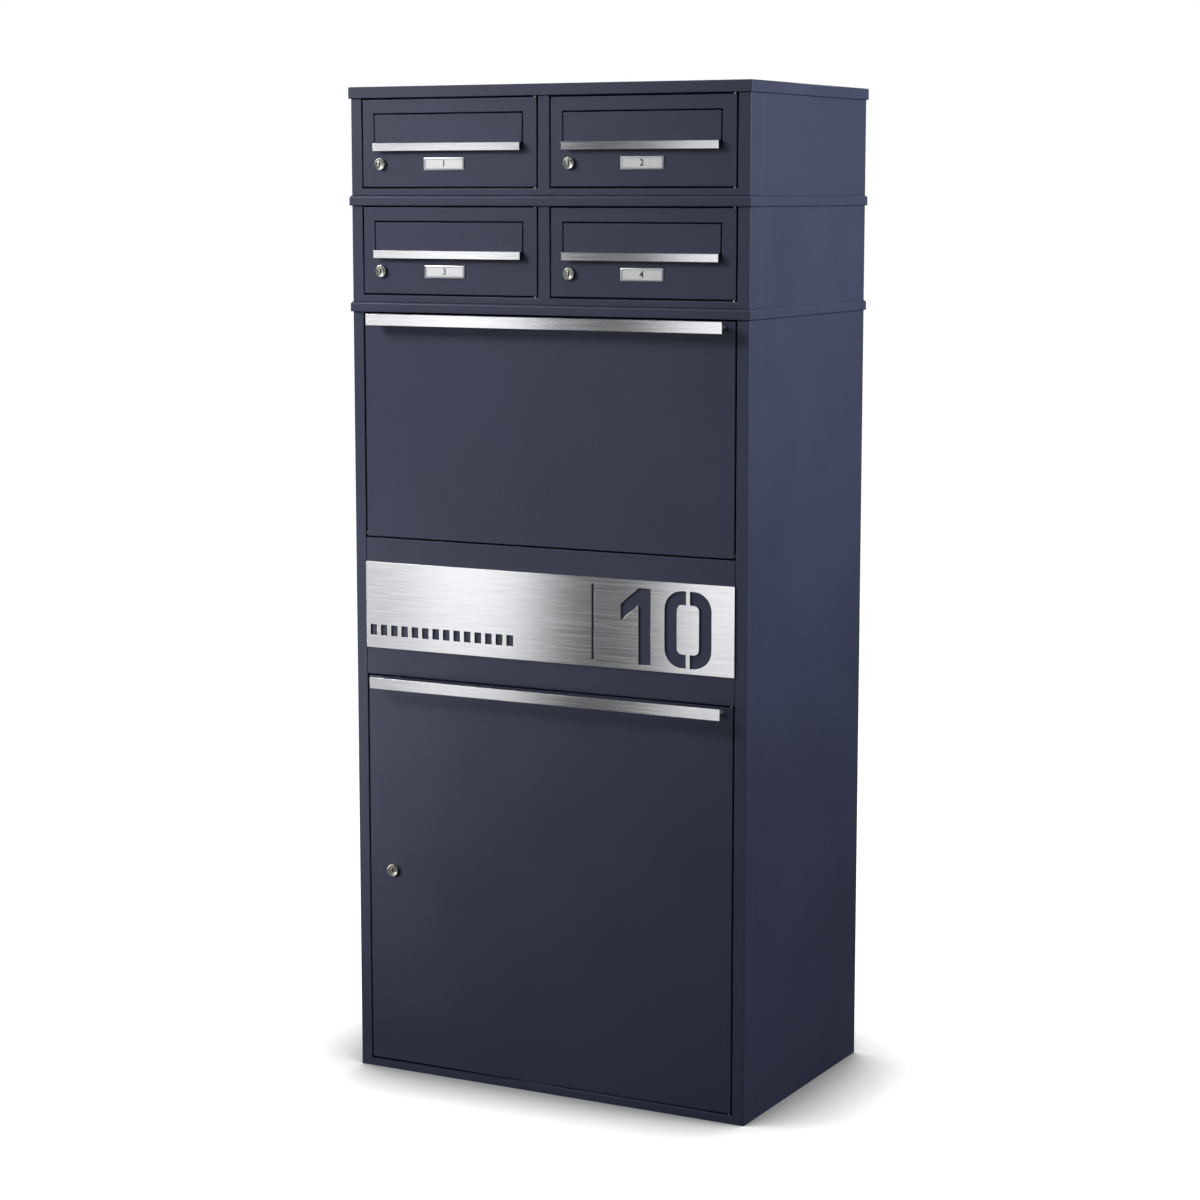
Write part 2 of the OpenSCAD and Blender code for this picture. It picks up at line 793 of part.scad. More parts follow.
for (i = [1, 2]) {
    collar(i);
    row_casing(i);
    row_frame(i);
    row_partition(i);
}
for (i = [1:4]) {
    lx = door_x(i) + lock_x;
    lz = door_z(i) + lock_z;
    letter_door(i);
    flap_rod(i);
    lock_housing_at(lx, lz, lock_r, barrel_back);
    name_plate(i);
    letter_flap(i);
    flap_handle(i);
    lock_plug_at(lx, lz);
    lock_cam_at(lx, lz, lock_x + cam_past_edge);
}
parcel_lock = [-panel_x + parcel_lock_x, parcel_door_z + parcel_lock_z];
floor_plate();
parcel_casing();
parcel_frame();
fascia_panel();
address_plate();
top_cap();
letter_stops();
letter_hinge_pins();
parcel_hinge_pins();
flap_pivot_pins();
module_bolts();
parcel_door();
handle_bar(parcel_door_z + parcel_door_h);  // parcel_door_handle
parcel_door_buffers();
lock_housing_at(parcel_lock[0], parcel_lock[1], parcel_lock_r, barrel_back);  // parcel_lock_housing
lock_plug_at(parcel_lock[0], parcel_lock[1]);  // parcel_lock_plug
lock_cam_at(parcel_lock[0], parcel_lock[1], parcel_lock_x + cam_past_edge);  // parcel_lock_cam
parcel_flap();
handle_bar(flap_base + parcel_flap_h);  // parcel_flap_handle
parcel_hopper();
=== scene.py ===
import json
import math

import bmesh
import bpy
from mathutils import Matrix, Vector


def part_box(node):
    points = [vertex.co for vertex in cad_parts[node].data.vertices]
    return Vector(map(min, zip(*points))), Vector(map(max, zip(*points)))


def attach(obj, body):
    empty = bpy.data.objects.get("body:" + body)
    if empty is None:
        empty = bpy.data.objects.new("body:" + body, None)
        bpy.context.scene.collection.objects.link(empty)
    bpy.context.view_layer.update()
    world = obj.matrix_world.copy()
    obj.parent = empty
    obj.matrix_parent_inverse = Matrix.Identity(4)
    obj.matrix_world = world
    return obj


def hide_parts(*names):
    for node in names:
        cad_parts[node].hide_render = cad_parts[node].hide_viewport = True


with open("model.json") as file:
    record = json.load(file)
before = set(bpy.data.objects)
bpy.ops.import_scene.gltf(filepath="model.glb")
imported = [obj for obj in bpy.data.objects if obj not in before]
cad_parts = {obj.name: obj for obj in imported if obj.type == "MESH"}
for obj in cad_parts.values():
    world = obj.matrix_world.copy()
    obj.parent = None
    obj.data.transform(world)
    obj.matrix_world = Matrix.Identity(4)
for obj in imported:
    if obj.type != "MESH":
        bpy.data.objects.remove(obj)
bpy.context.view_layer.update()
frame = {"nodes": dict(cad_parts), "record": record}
mm = 0.001
doorNumbers = (1, 2, 3, 4)  # 1 and 2 in the upper row, 3 and 4 in the lower one
print("frame loaded:", len(frame["nodes"]), "nodes")


def bodyOf(node):
    return next(body for body, nodes in frame["record"]["behaviour"]["bodies"].items() if node in nodes)


def toLinear(hexColour):
    parts = [int(hexColour[i:i + 2], 16) / 255 for i in (1, 3, 5)]
    return [c / 12.92 if c <= 0.04045 else ((c + 0.055) / 1.055) ** 2.4 for c in parts] + [1.0]


def addNode(tree, kind, sockets=None, **settings):
    made = tree.nodes.new(kind)
    for name, value in settings.items():
        setattr(made, name, value)
    for socket, value in (sockets or {}).items():
        if isinstance(value, bpy.types.NodeSocket):
            tree.links.new(value, made.inputs[socket])
        else:
            made.inputs[socket].default_value = value
    return made


def newMaterial(name):
    material = bpy.data.materials.new(name)
    material.use_nodes = True
    tree = material.node_tree
    tree.nodes.clear()
    shader = addNode(tree, "ShaderNodeBsdfPrincipled")
    addNode(tree, "ShaderNodeOutputMaterial", {"Surface": shader.outputs["BSDF"]})
    return material, tree, shader


# standing to the right of the unit at eye height, looking slightly down
cameraSet = {"place": (2.1583, -4.1127, 1.4333), "turn": 27.892, "dip": 8.077, "lens": 85.958, "sensor": 36}
cameraData = bpy.data.cameras.new("camera")
cameraData.lens = cameraSet["lens"]
cameraData.sensor_width = cameraSet["sensor"]
camera = bpy.data.objects.new("camera", cameraData)
camera.location = cameraSet["place"]
camera.rotation_euler = (math.radians(90 - cameraSet["dip"]), 0, math.radians(cameraSet["turn"]))
bpy.context.scene.collection.objects.link(camera)
bpy.context.scene.camera = camera


def objectPoint(tree):
    return addNode(tree, "ShaderNodeTexCoord").outputs["Object"]


def noise(tree, point, grainMm, detail=2.0, stretch=(1, 1, 1), seedShift=0.0):
    # grainMm is the size of one blotch; stretch makes it longer along an axis
    scaled = addNode(tree, "ShaderNodeMapping", {
        "Vector": point,
        "Location": (seedShift, seedShift, seedShift),
        "Scale": tuple(1 / s for s in stretch)})
    made = addNode(tree, "ShaderNodeTexNoise", {
        "Vector": scaled.outputs["Vector"], "Scale": 1000 / grainMm, "Detail": detail, "Roughness": 0.55})
    return made.outputs["Fac"]


def remap(tree, value, low, high, toLow, toHigh):
    made = addNode(tree, "ShaderNodeMapRange", {
        "Value": value, "From Min": low, "From Max": high, "To Min": toLow, "To Max": toHigh})
    return made.outputs["Result"]


def blendColour(tree, factor, first, second):
    made = addNode(tree, "ShaderNodeMix", {0: factor, 6: first, 7: second}, data_type="RGBA")
    return made.outputs[2]


# Anthracite powder coat on sheet steel: a baked, satin-matt skin whose fine orange peel breaks
# reflections into a soft sheen, with cloudy differences in film thickness.
coatSet = {"colour": "#2e3345", "thin": "#32374b", "fleck": "#474d62", "roughness": 0.47,
           "peelMm": 2.4,  # drawn coarser than real orange peel, so that it shows
           "fleckMm": 1.8, "cloudMm": 320, "waveMm": 60, "glossMm": 90, "specular": 0.2}


def makePowderCoat():
    material, tree, shader = newMaterial("anthracitePowderCoat")
    point = objectPoint(tree)
    cloud = remap(tree, noise(tree, point, coatSet["cloudMm"], 3), 0.35, 0.65, 0, 1)
    colour = blendColour(tree, cloud, toLinear(coatSet["colour"]), toLinear(coatSet["thin"]))
    fleck = remap(tree, noise(tree, point, coatSet["fleckMm"], 1, seedShift=3.0), 0.60, 0.78, 0, 0.30)
    colour = blendColour(tree, fleck, colour, toLinear(coatSet["fleck"]))
    peel = noise(tree, point, coatSet["peelMm"], 2)
    wave = noise(tree, point, coatSet["waveMm"], 2, seedShift=7.0)  # faint waviness of rolled sheet
    rough = remap(tree, noise(tree, point, coatSet["glossMm"], 3, seedShift=1.5), 0.3, 0.7,
                  coatSet["roughness"] - 0.04, coatSet["roughness"] + 0.04)
    fine = addNode(tree, "ShaderNodeBump", {"Height": peel, "Strength": 0.10, "Distance": 0.3 * mm})
    broad = addNode(tree, "ShaderNodeBump", {
        "Height": wave, "Strength": 0.08, "Distance": 1.0 * mm, "Normal": fine.outputs["Normal"]})
    tree.links.new(colour, shader.inputs["Base Color"])
    tree.links.new(rough, shader.inputs["Roughness"])
    tree.links.new(broad.outputs["Normal"], shader.inputs["Normal"])
    shader.inputs["Specular IOR Level"].default_value = coatSet["specular"]
    return material


# Stainless steel ground lengthwise with a 240 grit belt: long hair lines along X that stretch
# every highlight upwards and keep it narrow sideways.
stainlessSet = {"colour": "#c3c3c6", "dark": "#adadb0", "roughness": 0.22, "anisotropy": 0.9,
                "lineMm": 0.7,  # drawn coarser than real hair lines, so that they show
                "bandMm": 1.75, "lineStretch": 80}


def makeBrushedStainless():
    material, tree, shader = newMaterial("brushedStainless")
    point = objectPoint(tree)
    along = (stainlessSet["lineStretch"], 1, 1)
    lines = noise(tree, point, stainlessSet["lineMm"], 3, along)
    bands = noise(tree, point, stainlessSet["bandMm"], 2, along, seedShift=5.0)
    both = addNode(tree, "ShaderNodeMath", {0: lines, 1: bands}, operation="MULTIPLY").outputs[0]
    colour = blendColour(tree, remap(tree, both, 0.12, 0.40, 0, 1),
                         toLinear(stainlessSet["dark"]), toLinear(stainlessSet["colour"]))
    rough = remap(tree, bands, 0.3, 0.7, stainlessSet["roughness"] - 0.03, stainlessSet["roughness"] + 0.03)
    bump = addNode(tree, "ShaderNodeBump", {"Height": lines, "Strength": 0.06, "Distance": 0.08 * mm})
    upright = addNode(tree, "ShaderNodeCombineXYZ", {"Z": 1.0})
    turned = addNode(tree, "ShaderNodeVectorTransform", {"Vector": upright.outputs[0]},
                     vector_type="VECTOR", convert_from="OBJECT", convert_to="WORLD")
    tree.links.new(colour, shader.inputs["Base Color"])
    tree.links.new(rough, shader.inputs["Roughness"])
    tree.links.new(bump.outputs["Normal"], shader.inputs["Normal"])
    tree.links.new(turned.outputs[0], shader.inputs["Tangent"])
    shader.inputs["Metallic"].default_value = 1.0
    shader.inputs["Anisotropic"].default_value = stainlessSet["anisotropy"]
    return material


# Satin nickel on die-cast zinc: warm grey metal, a little cloudy, with fine handling scratches.
nickelSet = {"colour": "#a5a69f", "dark": "#777873", "roughness": 0.3}


def makeSatinNickel():
    material, tree, shader = newMaterial("satinNickel")
    point = objectPoint(tree)
    stain = remap(tree, noise(tree, point, 6, 4), 0.35, 0.7, 0, 1)
    scratches = noise(tree, point, 0.5, 2, (1, 1, 18))
    colour = blendColour(tree, stain, toLinear(nickelSet["colour"]), toLinear(nickelSet["dark"]))
    rough = remap(tree, scratches, 0.3, 0.7, nickelSet["roughness"] - 0.06, nickelSet["roughness"] + 0.08)
    bump = addNode(tree, "ShaderNodeBump", {"Height": scratches, "Strength": 0.08, "Distance": 0.05 * mm})
    tree.links.new(colour, shader.inputs["Base Color"])
    tree.links.new(rough, shader.inputs["Roughness"])
    tree.links.new(bump.outputs["Normal"], shader.inputs["Normal"])
    shader.inputs["Metallic"].default_value = 1.0
    return material


# Zinc plate with a clear chromate: cool grey metal with bluish and straw-coloured blotches.
zincSet = {"colour": "#b3b7bb", "straw": "#b7ad8e", "roughness": 0.36}


def makeZincPlate():
    material, tree, shader = newMaterial("zincPlate")
    point = objectPoint(tree)
    blotch = remap(tree, noise(tree, point, 9, 3), 0.42, 0.68, 0, 0.8)
    colour = blendColour(tree, blotch, toLinear(zincSet["colour"]), toLinear(zincSet["straw"]))
    grain = noise(tree, point, 0.7, 2)
    rough = remap(tree, grain, 0.3, 0.7, zincSet["roughness"] - 0.07, zincSet["roughness"] + 0.09)
    bump = addNode(tree, "ShaderNodeBump", {"Height": grain, "Strength": 0.10, "Distance": 0.05 * mm})
    tree.links.new(colour, shader.inputs["Base Color"])
    tree.links.new(rough, shader.inputs["Roughness"])
    tree.links.new(bump.outputs["Normal"], shader.inputs["Normal"])
    shader.inputs["Metallic"].default_value = 1.0
    return material


# Moulded light grey elastomer of the door buffers: soft, slightly dusty, with a matt skin.
bufferSet = {"colour": "#8f9194", "dusty": "#a7a8a8", "roughness": 0.62}


def makeBufferRubber():
    material, tree, shader = newMaterial("bufferRubber")
    point = objectPoint(tree)
    dust = remap(tree, noise(tree, point, 2.5, 3), 0.4, 0.7, 0, 1)
    grain = noise(tree, point, 0.4, 2)
    colour = blendColour(tree, dust, toLinear(bufferSet["colour"]), toLinear(bufferSet["dusty"]))
    bump = addNode(tree, "ShaderNodeBump", {"Height": grain, "Strength": 0.15, "Distance": 0.05 * mm})
    tree.links.new(colour, shader.inputs["Base Color"])
    tree.links.new(bump.outputs["Normal"], shader.inputs["Normal"])
    shader.inputs["Roughness"].default_value = bufferSet["roughness"]
    return material


# Silver ABS holder of the name plates: a metallic lacquer on moulded plastic.
holderSet = {"colour": "#b4b6b9", "flake": "#cfd0d3", "roughness": 0.33}


def makeSilverHolder():
    material, tree, shader = newMaterial("silverLacqueredAbs")
    point = objectPoint(tree)
    flake = remap(tree, noise(tree, point, 0.35, 1), 0.5, 0.75, 0, 1)
    colour = blendColour(tree, flake, toLinear(holderSet["colour"]), toLinear(holderSet["flake"]))
    rough = remap(tree, noise(tree, point, 4, 2), 0.3, 0.7, holderSet["roughness"] - 0.05,
                  holderSet["roughness"] + 0.08)
    tree.links.new(colour, shader.inputs["Base Color"])
    tree.links.new(rough, shader.inputs["Roughness"])
    shader.inputs["Metallic"].default_value = 0.55
    return material


# White card behind a clear acrylic window: paper fibres under a glossy coat.
cardSet = {"colour": "#cfd0d2", "fibre": "#bfc0c1", "roughness": 0.55}


def makeNameCard():
    material, tree, shader = newMaterial("cardUnderAcrylic")
    point = objectPoint(tree)
    fibre = remap(tree, noise(tree, point, 0.5, 3, (5, 1, 1)), 0.4, 0.7, 0, 1)
    colour = blendColour(tree, fibre, toLinear(cardSet["colour"]), toLinear(cardSet["fibre"]))
    tree.links.new(colour, shader.inputs["Base Color"])
    shader.inputs["Roughness"].default_value = cardSet["roughness"]
    shader.inputs["Coat Weight"].default_value = 1.0
    shader.inputs["Coat Roughness"].default_value = 0.05
    return material


# Black printing ink on the cards: matt, with slightly uneven cover.
inkSet = {"colour": "#1d1f24", "thin": "#2f3238"}


def makeCardInk():
    material, tree, shader = newMaterial("printedInk")
    point = objectPoint(tree)
    cover = remap(tree, noise(tree, point, 0.6, 2), 0.4, 0.7, 0, 1)
    tree.links.new(blendColour(tree, cover, toLinear(inkSet["colour"]), toLinear(inkSet["thin"])),
                   shader.inputs["Base Color"])
    shader.inputs["Roughness"].default_value = 0.5
    shader.inputs["Coat Weight"].default_value = 1.0
    shader.inputs["Coat Roughness"].default_value = 0.05
    return material


powderCoat = makePowderCoat()
brushedStainless = makeBrushedStainless()
satinNickel = makeSatinNickel()
zincPlate = makeZincPlate()
bufferRubber = makeBufferRubber()
silverHolder = makeSilverHolder()
nameCard = makeNameCard()
cardInk = makeCardInk()
# finishes of the pieces that are softened CAD meshes, by material slot
finishOf = {
    "powder_coated_steel": powderCoat,
    "brushed_stainless": brushedStainless,
    "zinc_plated_steel": zincPlate,
    "nickel_plated_lock": satinNickel,
}
slotOf = {part["node"]: part["material_slot"] for part in frame["record"]["subparts"]}
print("finishes made:", len(bpy.data.materials))


# Copies of the CAD pieces with their folds rounded and their cut edges broken.
foldSet = {"foldMm": 1.1, "rimMm": 0.25, "thinMm": 2.2, "shortMm": 3.0, "segments": 3, "sharpDeg": 30}


def widthFrom(face, edge):
    # how far a face reaches away from one of its edges
    start = edge.verts[0].co
    along = (edge.verts[1].co - start).normalized()
    return max(((v.co - start) - along * (v.co - start).dot(along)).length for v in face.verts)


def softened(node, name, foldMm=None, rimMm=None, shortMm=None):
    fold = (foldMm or foldSet["foldMm"]) * mm
    rim = (rimMm or foldSet["rimMm"]) * mm
    short = (foldSet["shortMm"] if shortMm is None else shortMm) * mm
    work = bmesh.new()
    work.from_mesh(frame["nodes"][node].data)
    bmesh.ops.remove_doubles(work, verts=work.verts, dist=0.002 * mm)
    bmesh.ops.dissolve_limit(work, angle_limit=math.radians(0.5), verts=work.verts, edges=work.edges)
    weight = work.edges.layers.float.new("bevel_weight_edge")
    for edge in work.edges:
        if len(edge.link_faces) != 2 or not edge.is_convex or edge.calc_length() < short:
            continue
        if edge.calc_face_angle(0) < math.radians(foldSet["sharpDeg"]):
            continue
        narrow = min(widthFrom(face, edge) for face in edge.link_faces)
        edge[weight] = 1.0 if narrow > foldSet["thinMm"] * mm else rim / fold
    mesh = bpy.data.meshes.new(name)
    work.to_mesh(mesh)
    work.free()
    piece = bpy.data.objects.new(name, mesh)
    bpy.context.scene.collection.objects.link(piece)
    for polygon in mesh.polygons:
        polygon.use_smooth = True
    bevel = piece.modifiers.new("folds", "BEVEL")
    bevel.limit_method = "WEIGHT"
    bevel.width = fold
    bevel.segments = foldSet["segments"]
    bevel.use_clamp_overlap = False
    return bake(piece)


def bake(piece):
    # modifiers into a plain mesh, then weighted normals so that flats stay flat
    normals = piece.modifiers.new("normals", "WEIGHTED_NORMAL")
    normals.weight = 80
    normals.keep_sharp = True
    evaluated = piece.evaluated_get(bpy.context.evaluated_depsgraph_get())
    mesh = bpy.data.meshes.new_from_object(evaluated)
    piece.modifiers.clear()
    old = piece.data
    piece.data = mesh
    bpy.data.meshes.remove(old)
    mesh.name = piece.name
    return piece


def finishPiece(piece, body, material, slot, *nodes):
    piece.data.materials.clear()
    piece.data.materials.append(material)
    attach(piece, body)
    if nodes:
        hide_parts(*nodes)
    return piece


def foldedPiece(node, **sizes):
    piece = softened(node, node + "_sheet", **sizes)
    return finishPiece(piece, bodyOf(node), finishOf[slotOf[node]], slotOf[node], node)


sheetNodes = ["floor_plate", "parcel_casing", "fascia_panel", "collar_1", "collar_2", "row_casing_1",
              "row_casing_2", "row_partition_1", "row_partition_2", "top_cap", "letter_stops", "parcel_door",
              "parcel_flap", "parcel_hopper"]
for node in sheetNodes + [f"letter_door_{i}" for i in doorNumbers]:
    foldedPiece(node)
for node in ("parcel_frame", "row_frame_1", "row_frame_2"):
    foldedPiece(node, shortMm=0.1)  # the rounded front corners have short edges that need their bevel too
for i in doorNumbers:
    foldedPiece(f"letter_flap_{i}", foldMm=0.5, rimMm=0.2)
    foldedPiece(f"flap_handle_{i}", foldMm=0.35, rimMm=0.25)
for node in ("parcel_door_handle", "parcel_flap_handle"):
    foldedPiece(node, foldMm=0.4, rimMm=0.3)
foldedPiece("address_plate", foldMm=0.4, rimMm=0.3, shortMm=0.4)
print("sheet pieces folded")


def millimetres(corner):
    return [c / mm for c in corner]


creaseDeg = 35  # edges of made pieces stay sharp above this angle


def shade(work):
    # faces outward and smooth, with sharp edges where the surface creases
    bmesh.ops.recalc_face_normals(work, faces=work.faces)
    for face in work.faces:
        face.smooth = True
    for edge in work.edges:
        edge.smooth = edge.calc_face_angle(0) < math.radians(creaseDeg)


def meshPiece(name, vertices, faces):
    # a closed mesh from points in millimetres
    mesh = bpy.data.meshes.new(name)
    mesh.from_pydata([[c * mm for c in v] for v in vertices], [], faces)
    work = bmesh.new()
    work.from_mesh(mesh)
    shade(work)
    work.to_mesh(mesh)
    work.free()
    piece = bpy.data.objects.new(name, mesh)
    bpy.context.scene.collection.objects.link(piece)
    return piece


# Cam locks: die-cast housing with a stepped rosette, threaded barrel, hexagon nut, and a plug with a ring
lockSet = {"segments": 48, "bore": 5.55, "barrel": 8.0, "barrelBack": 20.0, "out": 4.0, "threadPitch": 1.5,
           "threadDepth": 0.5, "nutFront": 1.5, "nutThick": 4.0, "nutCorner": 11.0, "nutBore": 8.05,
           "plugRing": 5.2, "plugRingIn": 4.1, "plugSunk": 0.5, "letterRosette": 9.75, "parcelRosette": 10.5}


def roundRing(radius):
    return lambda angle, y: radius


def hexRing(corner, cap):
    # six flats, cut back to a circle where the chamfer takes the corners off
    def radius(angle, y):
        flat = corner * math.cos(math.pi / 6) / math.cos(angle % (math.pi / 3) - math.pi / 6)
        return min(flat, cap)
    return radius


def threadRing(major, depth, pitch):
    def radius(angle, y):
        turn = (y / pitch - angle / (2 * math.pi)) % 1
        return major - depth * abs(2 * turn - 1)
    return radius


def turnedRing(name, rings, centre, segments):
    # rings are (y, radius rule) round an axis along Y; the last ring joins the first, so the solid has a bore
    x0, y0, z0 = centre
    vertices = []
    for y, radiusAt in rings:
        for k in range(segments):
            angle = 2 * math.pi * k / segments
            radius = radiusAt(angle, y)
            vertices.append((x0 + radius * math.cos(angle), y0 + y, z0 + radius * math.sin(angle)))
    faces = []
    for j in range(len(rings)):
        for k in range(segments):
            here, there = j * segments, (j + 1) % len(rings) * segments
            nextK = (k + 1) % segments
            faces.append((here + k, there + k, there + nextK, here + nextK))
    return meshPiece(name, vertices, faces)


def housingRings(rosette):
    bore, out = lockSet["bore"], lockSet["out"]
    barrel, back, root = lockSet["barrel"], lockSet["barrelBack"], lockSet["barrel"] - lockSet["threadDepth"]
    front = [(-out + 0.8, bore), (-out + 0.2, bore + 0.35), (-out, bore + 0.8), (-out, bore + 1.3),
             (-out + 0.25, bore + 1.5), (-out + 0.9, bore + 1.6), (-out + 0.9, bore + 2.2),
             (-out + 0.25, bore + 2.35), (-out + 0.1, bore + 2.6), (-out + 0.1, rosette - 1.0),
             (-out + 0.35, rosette - 0.45), (-out + 0.95, rosette - 0.05), (-out + 1.3, rosette),
             (-0.35, rosette), (-0.05, rosette - 0.3), (-0.02, barrel + 0.3), (-0.02, barrel), (1.4, barrel)]
    tail = [(back - 0.5, root), (back, root - 0.5), (back, bore + 0.3), (back - 0.3, bore)]
    start, end = 2.0, back - 0.9
    count = round((end - start) / (lockSet["threadPitch"] / 4))
    cut = threadRing(barrel, lockSet["threadDepth"], lockSet["threadPitch"])
    thread = [(start + (end - start) * k / count, cut) for k in range(count + 1)]
    return [(y, roundRing(r)) for y, r in front] + thread + [(y, roundRing(r)) for y, r in tail]


def nutRings():
    front, back = lockSet["nutFront"] + 0.02, lockSet["nutFront"] + lockSet["nutThick"]
    corner, flat = lockSet["nutCorner"], lockSet["nutCorner"] * math.cos(math.pi / 6)
    bore = lockSet["nutBore"]
    return [(front, roundRing(bore + 0.3)), (front, hexRing(corner, flat)),
            (front + 0.5, hexRing(corner, corner)), (back - 0.5, hexRing(corner, corner)),
            (back, hexRing(corner, flat)), (back, roundRing(bore + 0.3)),
            (back - 0.3, roundRing(bore)), (front + 0.3, roundRing(bore))]


def plugRings():
    ringIn, ringOut, face = lockSet["plugRingIn"], lockSet["plugRing"], -lockSet["out"] + lockSet["plugSunk"]
    steps = [(face + 0.02, ringIn), (face - 0.15, ringIn + 0.15), (face - 0.3, ringIn + 0.45),
             (face - 0.3, ringOut - 0.35), (face - 0.15, ringOut - 0.05), (face + 0.02, ringOut)]
    return [(y, roundRing(radius)) for y, radius in steps]


def makeLock(tag, rosette, housingNode, plugNode, camNode):
    front = millimetres(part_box(housingNode)[0])[1]
    plugLow, plugHigh = [millimetres(corner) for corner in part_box(plugNode)]
    centre = ((plugLow[0] + plugHigh[0]) / 2, front + lockSet["out"], (plugLow[2] + plugHigh[2]) / 2)
    segments = lockSet["segments"]
    doorBody, plugBody = bodyOf(housingNode), bodyOf(plugNode)
    slot = slotOf[housingNode]
    finishPiece(turnedRing(f"{tag}LockHousing", housingRings(rosette), centre, segments),
                doorBody, satinNickel, slot, housingNode)
    finishPiece(turnedRing(f"{tag}LockNut", nutRings(), centre, segments),
                doorBody, zincPlate, slot, housingNode)
    finishPiece(turnedRing(f"{tag}LockPlugRing", plugRings(), centre, segments),
                plugBody, satinNickel, slotOf[plugNode])
    foldedPiece(plugNode, foldMm=0.3, rimMm=0.15, shortMm=0.3)
    foldedPiece(camNode, foldMm=0.3, rimMm=0.3, shortMm=0.3)


for i in doorNumbers:
    makeLock(f"letter{i}", lockSet["letterRosette"], f"lock_housing_{i}", f"lock_plug_{i}", f"lock_cam_{i}")
makeLock("parcel", lockSet["parcelRosette"], "parcel_lock_housing", "parcel_lock_plug", "parcel_lock_cam")
print("locks made")


# Name plates: a holder with a sloping rim, a card behind a clear window, and the box's number
plateSet = {"corner": 1.2, "slope": 1.7, "shoulder": 0.7, "innerSlope": 0.7, "edge": 1.1, "recess": 0.9,
            "card": 0.25, "cardMargin": 0.3, "cardCorner": 0.6, "digitHigh": 14.0, "digitBold": 0.35,
            "digitThick": 0.05}


def roundedLoop(low, high, corner, inset, y, steps=4):
    # a rounded rectangle in X and Z, counted round from the lower right corner
    radius = max(corner - inset, 0.15)
    points = []
    for quarter, (sideX, sideZ) in enumerate(((1, -1), (1, 1), (-1, 1), (-1, -1))):
        cx = (high[0] - inset - radius) if sideX > 0 else (low[0] + inset + radius)
        cz = (high[2] - inset - radius) if sideZ > 0 else (low[2] + inset + radius)
        for k in range(steps + 1):
            angle = math.pi / 2 * (quarter - 1 + k / steps)
            points.append((cx + radius * math.cos(angle), y, cz + radius * math.sin(angle)))
    return points


def loftedSlab(name, loops):
    # closed body through loops of as many points each, with flat ends
    count = len(loops[0])
    vertices = [point for loop in loops for point in loop]
    faces = [tuple(range(count)), tuple(range((len(loops) - 1) * count, len(loops) * count))]
    for j in range(len(loops) - 1):
        for k in range(count):
            nextK = (k + 1) % count
            faces.append((j * count + k, j * count + nextK, (j + 1) * count + nextK, (j + 1) * count + k))
    return meshPiece(name, vertices, faces)


def makeNamePlate(i):
    node = f"name_plate_{i}"
    low, high = [millimetres(corner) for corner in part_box(node)]
    front, back, corner = low[1], high[1], plateSet["corner"]
    inner = plateSet["slope"] + plateSet["shoulder"] + plateSet["innerSlope"]
    insets = [(0, back), (0, front + plateSet["edge"]), (0.15, front + plateSet["edge"] - 0.3),
              (plateSet["slope"], front + 0.05), (plateSet["slope"] + 0.15, front),
              (plateSet["slope"] + plateSet["shoulder"], front), (inner, front + plateSet["recess"])]
    holder = loftedSlab(f"nameHolder{i}", [roundedLoop(low, high, corner, inset, y) for inset, y in insets])
    finishPiece(holder, bodyOf(node), silverHolder, slotOf[node], node)
    margin = inner + plateSet["cardMargin"]
    cardBack = front + plateSet["recess"] - 0.02
    cardFront = cardBack - plateSet["card"]
    cardLoops = [(margin, cardBack), (margin, cardFront + 0.05), (margin + 0.05, cardFront)]
    card = loftedSlab(f"nameCard{i}", [roundedLoop(low, high, plateSet["cardCorner"], inset, y)
                                       for inset, y in cardLoops])
    finishPiece(card, bodyOf(node), nameCard, slotOf[node])
    digitY = cardFront - plateSet["digitThick"] / 2 - 0.01
    printDigit(i, Vector(((low[0] + high[0]) / 2, digitY, (low[2] + high[2]) / 2)))


def printDigit(i, middle):
    node = f"name_plate_{i}"
    text = bpy.data.curves.new(f"digit{i}", "FONT")
    text.body = str(i)
    text.align_x, text.align_y = "CENTER", "CENTER"
    text.size = plateSet["digitHigh"] * mm
    text.extrude = plateSet["digitThick"] / 2 * mm
    text.offset = plateSet["digitBold"] * mm
    text.resolution_u = 4
    writing = bpy.data.objects.new(f"digit{i}", text)
    mesh = bpy.data.meshes.new_from_object(writing)
    bpy.data.objects.remove(writing)
    mesh.transform(Matrix.Translation(middle * mm) @ Matrix.Rotation(math.radians(90), 4, "X"))
    work = bmesh.new()
    work.from_mesh(mesh)
    bmesh.ops.remove_doubles(work, verts=work.verts, dist=0.001 * mm)
    bmesh.ops.recalc_face_normals(work, faces=work.faces)
    work.to_mesh(mesh)
    work.free()
    number = bpy.data.objects.new(f"nameDigit{i}", mesh)
    bpy.context.scene.collection.objects.link(number)
    finishPiece(number, bodyOf(node), cardInk, slotOf[node])


for i in doorNumbers:
    makeNamePlate(i)
print("name plates made")


